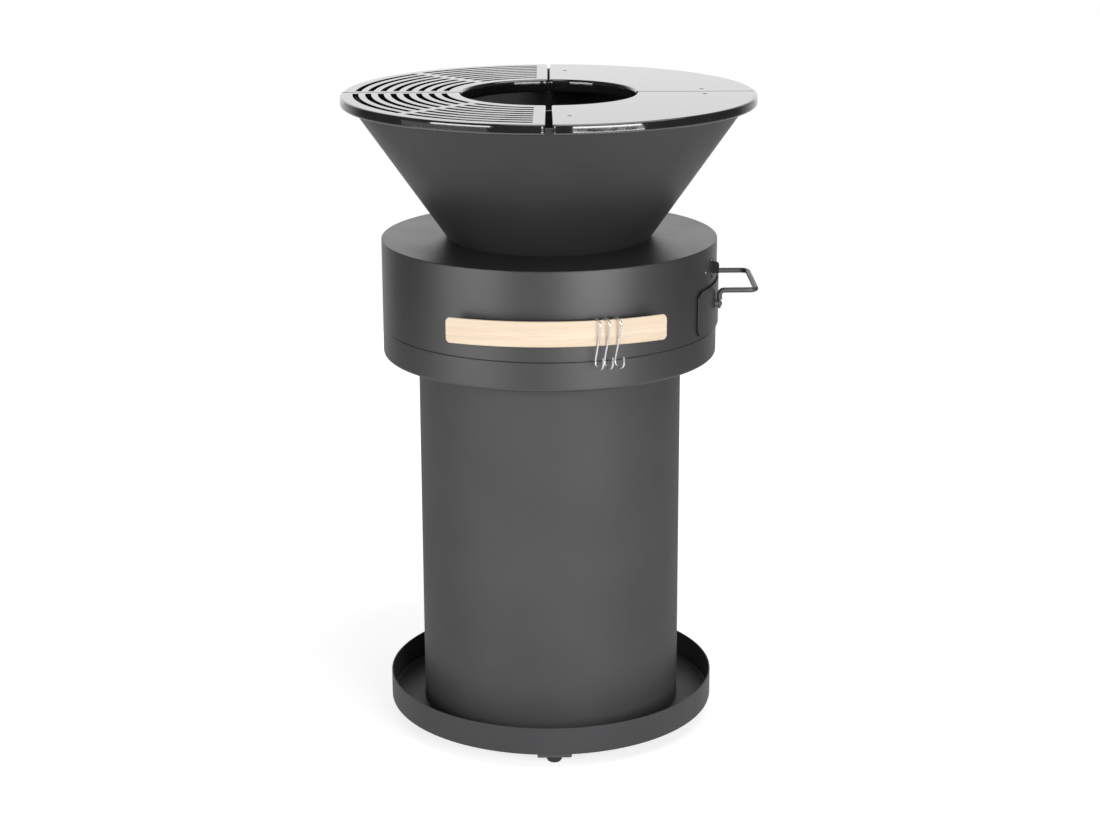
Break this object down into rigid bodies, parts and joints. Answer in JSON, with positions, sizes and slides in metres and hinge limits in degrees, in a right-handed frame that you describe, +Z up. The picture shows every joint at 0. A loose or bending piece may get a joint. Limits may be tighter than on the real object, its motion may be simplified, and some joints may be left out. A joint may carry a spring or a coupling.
{
  "type": "charcoal brazier",
  "caption": "Conical fire bowl with a ring of lift-off grill and griddle plates, on a drum head with an ash drawer and hook rail, carried by a wide round column in a tray.",
  "frame": {"origin": "on the floor under the middle of the column, between the feet", "axes": "+Z up; -Y is the front with the wooden hook rail; +X is the way the ash drawer pulls out"},
  "size_m": [0.6026, 0.5967, 0.949],
  "materials": {
    "head_paint": "satin anthracite powder coating on pressed sheet steel",
    "column_paint": "matt anthracite powder coating",
    "tray_paint": "matt anthracite powder coating",
    "bowl_paint": "matt black heat-resistant paint, darkened inside",
    "plate_enamel": "glossy black enamel on cast iron",
    "cast_iron_grate": "rough dark casting",
    "black_coated_steel": "black coated steel",
    "zinc_plated": "dull zinc plating on fasteners",
    "bright_steel": "bright bent steel wire",
    "wood": "pale varnished bent wood, grain along the rail",
    "black_plastic": "matt black glide"
  },
  "bodies": {
    "stand": {"foot_pads": "black_coated_steel", "foot_glides": "black_plastic", "base_tray": "tray_paint", "column_shell": "column_paint", "column_lower_ring": "black_coated_steel", "column_upper_ring": "black_coated_steel", "column_lower_bolts": "zinc_plated", "column_upper_bolts": "zinc_plated", "column_nuts": "zinc_plated", "head_pan": "head_paint", "head_joint_ring": "black_coated_steel", "head_shell": "head_paint", "head_top": "head_paint", "drawer_runners": "black_coated_steel", "side_bracket": "black_coated_steel", "side_bracket_screws": "black_coated_steel", "rail_spacers": "black_coated_steel", "hook_rail": "wood", "rail_bolts": "zinc_plated", "fire_bowl": "bowl_paint", "bowl_bolts": "black_coated_steel", "bowl_nuts": "zinc_plated", "ring_brackets": "black_coated_steel", "support_ring": "black_coated_steel"},
    "drawer": {"ash_drawer_box": "black_coated_steel", "drawer_front": "head_paint", "handle_spacers": "black_coated_steel", "drawer_handle": "black_coated_steel", "handle_bolts": "black_coated_steel", "handle_nuts": "zinc_plated"},
    "grate": {"charcoal_grate": "cast_iron_grate"},
    "grill_front": {"grill_plate_front": "plate_enamel"},
    "grill_rear": {"grill_plate_rear": "plate_enamel"},
    "griddle_front": {"griddle_plate_front": "plate_enamel"},
    "griddle_rear": {"griddle_plate_rear": "plate_enamel"},
    "hook_left": {"s_hook_left": "bright_steel"},
    "hook_middle": {"s_hook_middle": "bright_steel"},
    "hook_right": {"s_hook_right": "bright_steel"}
  },
  "joints": [
    {"name": "drawer_slide", "type": "slide", "parent": "stand", "child": "drawer", "axis": [1, 0, 0], "range_m": [0, 0.25]},
    {"name": "grate_lift", "type": "slide", "parent": "stand", "child": "grate", "axis": [0, 0, 1], "range_m": [0, 0.24]},
    {"name": "grill_front_lift", "type": "slide", "parent": "stand", "child": "grill_front", "axis": [0, 0, 1], "range_m": [0, 0.15]},
    {"name": "grill_rear_lift", "type": "slide", "parent": "stand", "child": "grill_rear", "axis": [0, 0, 1], "range_m": [0, 0.15]},
    {"name": "griddle_front_lift", "type": "slide", "parent": "stand", "child": "griddle_front", "axis": [0, 0, 1], "range_m": [0, 0.15]},
    {"name": "griddle_rear_lift", "type": "slide", "parent": "stand", "child": "griddle_rear", "axis": [0, 0, 1], "range_m": [0, 0.15]},
    {"name": "hook_left_swing", "type": "hinge", "parent": "stand", "child": "hook_left", "pos_m": [0.05831, -0.25212, 0.6704], "axis": [-0.9839, -0.1788, 0], "range_deg": [0, 10]},
    {"name": "hook_middle_swing", "type": "hinge", "parent": "stand", "child": "hook_middle", "pos_m": [0.07092, -0.24957, 0.6704], "axis": [-0.9763, -0.2164, 0], "range_deg": [0, 10]},
    {"name": "hook_right_swing", "type": "hinge", "parent": "stand", "child": "hook_right", "pos_m": [0.08569, -0.24594, 0.6704], "axis": [-0.9655, -0.2605, 0], "range_deg": [0, 10]}
  ]
}
